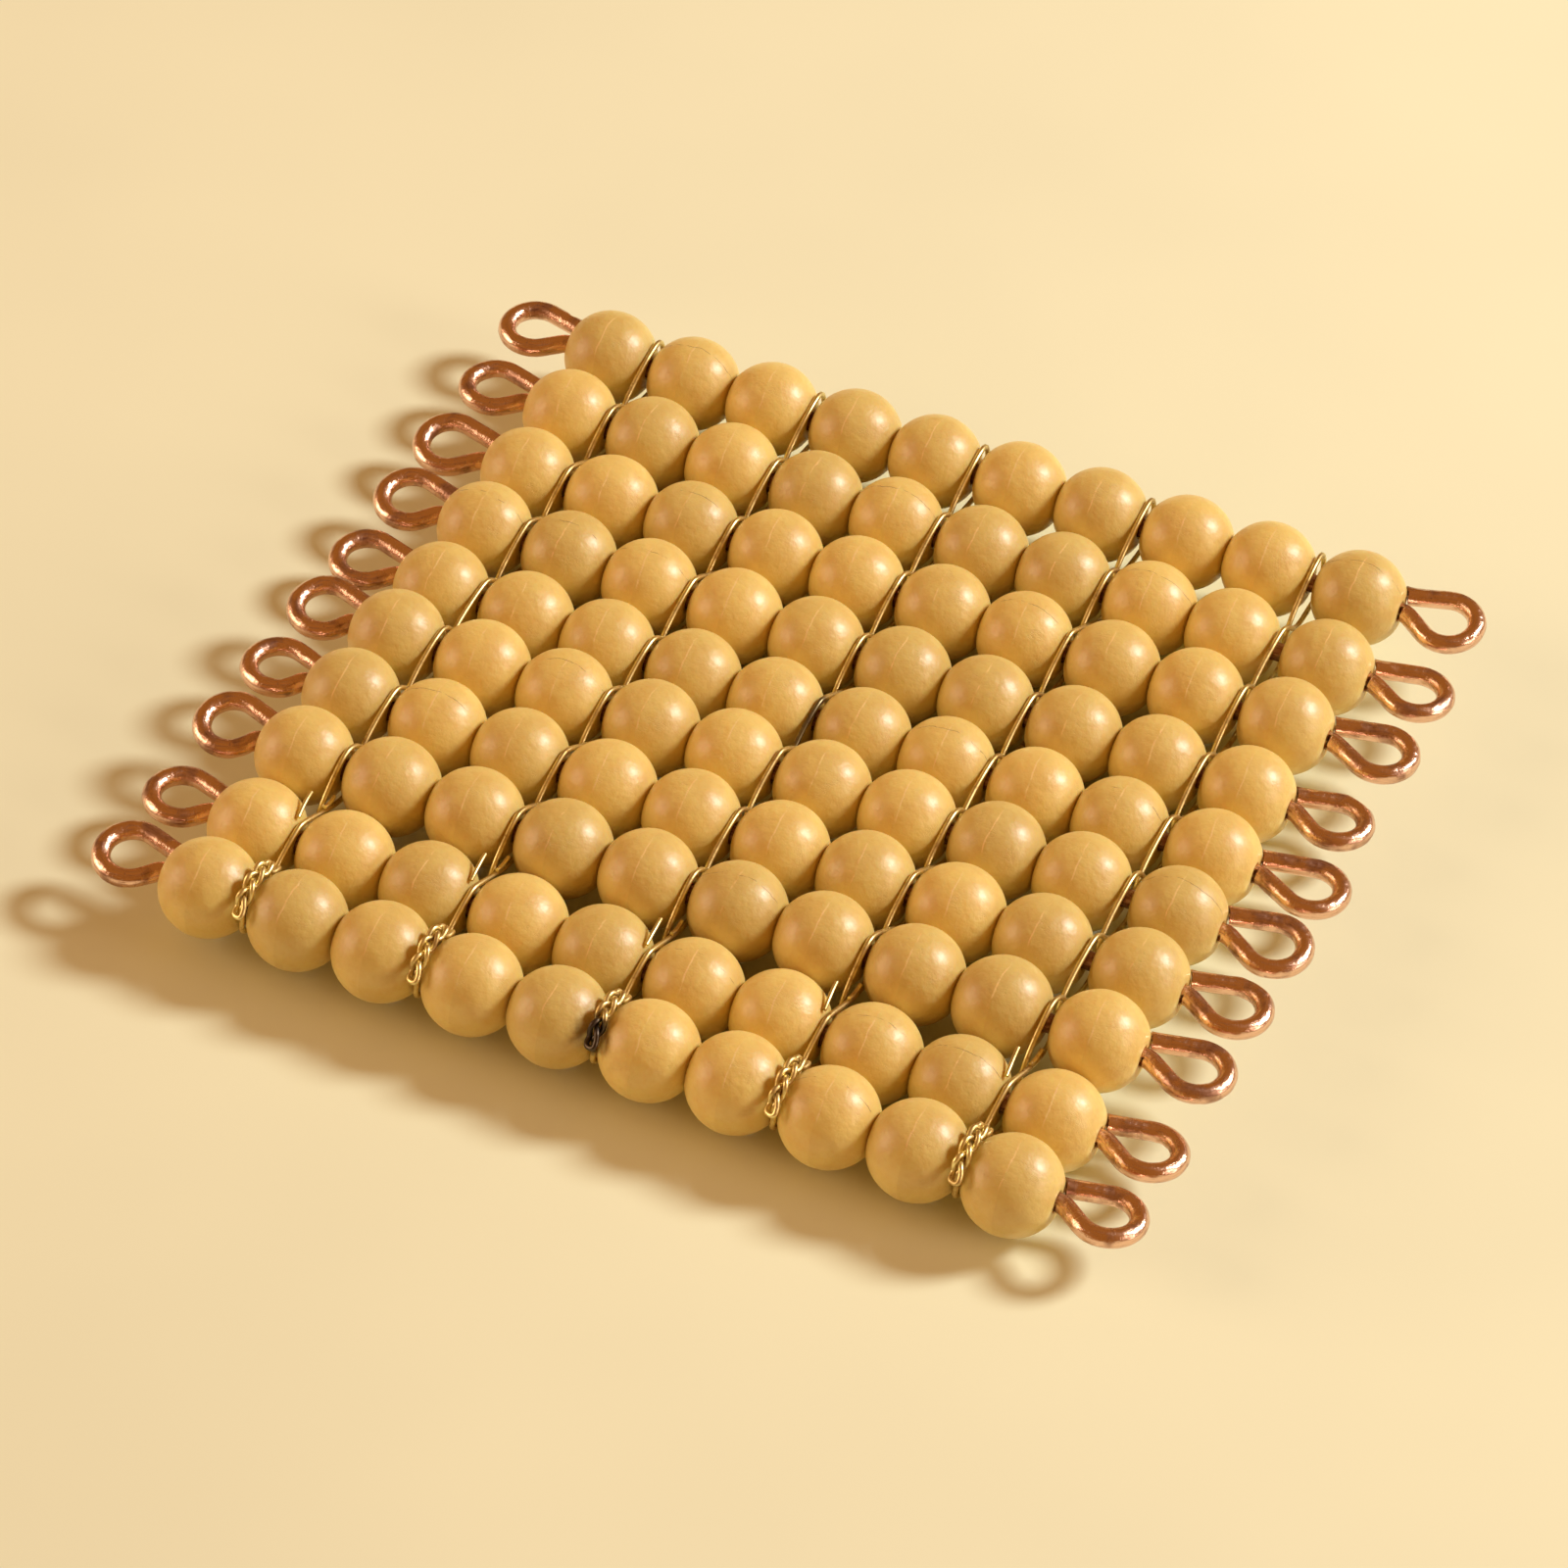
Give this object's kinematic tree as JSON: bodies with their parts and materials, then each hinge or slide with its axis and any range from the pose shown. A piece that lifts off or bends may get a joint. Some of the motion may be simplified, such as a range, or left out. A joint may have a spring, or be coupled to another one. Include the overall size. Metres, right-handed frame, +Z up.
{
  "type": "golden bead square",
  "caption": "Counting square of golden beads threaded on copper wires with looped ends and laced side by side with thin brass wire.",
  "frame": {"origin": "middle of the bounding box, on the surface that the lowest beads rest on", "axes": "+X along the bars to the longer wire loops, +Y from the knotted front bar to the back bar, +Z up"},
  "size_m": [0.0842, 0.0752, 0.0093],
  "materials": {
    "golden_bead": "satin, golden ochre",
    "copper_wire": "drawn copper, lightly tarnished",
    "brass_lacing": "thin drawn brass, tarnished at the third knot"
  },
  "bodies": {
    "root": {"bead_row_01": "golden_bead", "bead_row_02": "golden_bead", "bead_row_03": "golden_bead", "bead_row_04": "golden_bead", "bead_row_05": "golden_bead", "bead_row_06": "golden_bead", "bead_row_07": "golden_bead", "bead_row_08": "golden_bead", "bead_row_09": "golden_bead", "bead_row_10": "golden_bead", "bar_wire_01": "copper_wire", "bar_wire_02": "copper_wire", "bar_wire_03": "copper_wire", "bar_wire_04": "copper_wire", "bar_wire_05": "copper_wire", "bar_wire_06": "copper_wire", "bar_wire_07": "copper_wire", "bar_wire_08": "copper_wire", "bar_wire_09": "copper_wire", "bar_wire_10": "copper_wire", "lacing_wire_1": "brass_lacing", "lacing_wire_2": "brass_lacing", "lacing_wire_3": "brass_lacing", "lacing_wire_4": "brass_lacing", "lacing_wire_5": "brass_lacing"}
  },
  "joints": []
}
